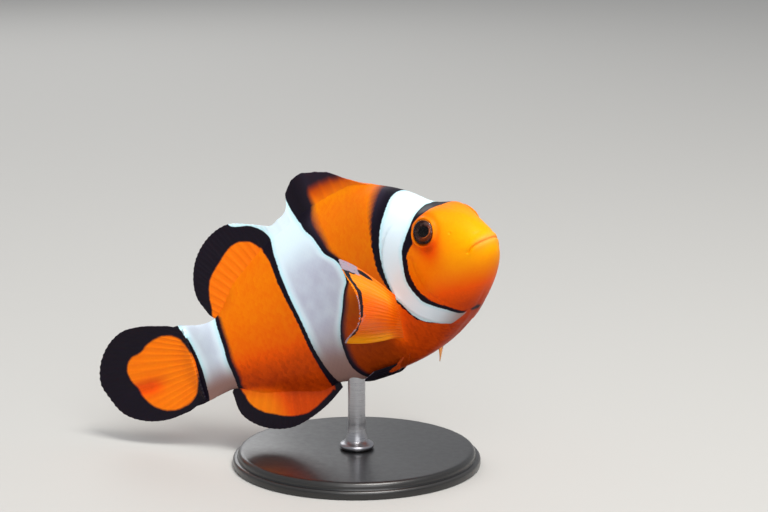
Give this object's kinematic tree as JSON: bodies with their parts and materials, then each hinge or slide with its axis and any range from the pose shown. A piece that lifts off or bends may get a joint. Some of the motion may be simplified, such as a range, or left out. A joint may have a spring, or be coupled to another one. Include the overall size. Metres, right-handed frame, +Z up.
{
  "type": "clownfish model on a display stand",
  "caption": "Life-size still clownfish, orange with white bands edged in black, swimming nose up on a round display stand.",
  "frame": {"origin": "centre of the underside of the stand's round base, under the rod", "axes": "+X is the way the trunk heads, +Y the fish's left, +Z up"},
  "size_m": [0.0719, 0.04, 0.0468],
  "materials": {
    "fish_skin": "wet satin skin, orange with three white bands edged in black",
    "fin_web": "satin rayed web, orange with a broad black margin and a thin clear edge",
    "eye": "clear gloss over a black pupil and a brown and orange iris",
    "stand_base": "satin black lacquer",
    "stand_rod": "fine brushed steel"
  },
  "bodies": {
    "root": {"head": "fish_skin", "jaw_lower": "fish_skin", "gill_cover_right": "fish_skin", "gill_cover_left": "fish_skin", "trunk": "fish_skin", "tail_stalk": "fish_skin", "eye_right": "eye", "eye_left": "eye", "dorsal_fin_front": "fin_web", "dorsal_fin_rear": "fin_web", "anal_fin": "fin_web", "tail_fin": "fin_web", "pectoral_fin_right": "fin_web", "pectoral_fin_left": "fin_web", "pelvic_fin_right": "fin_web", "pelvic_fin_left": "fin_web", "stand_base": "stand_base", "stand_rod": "stand_rod"}
  },
  "joints": []
}
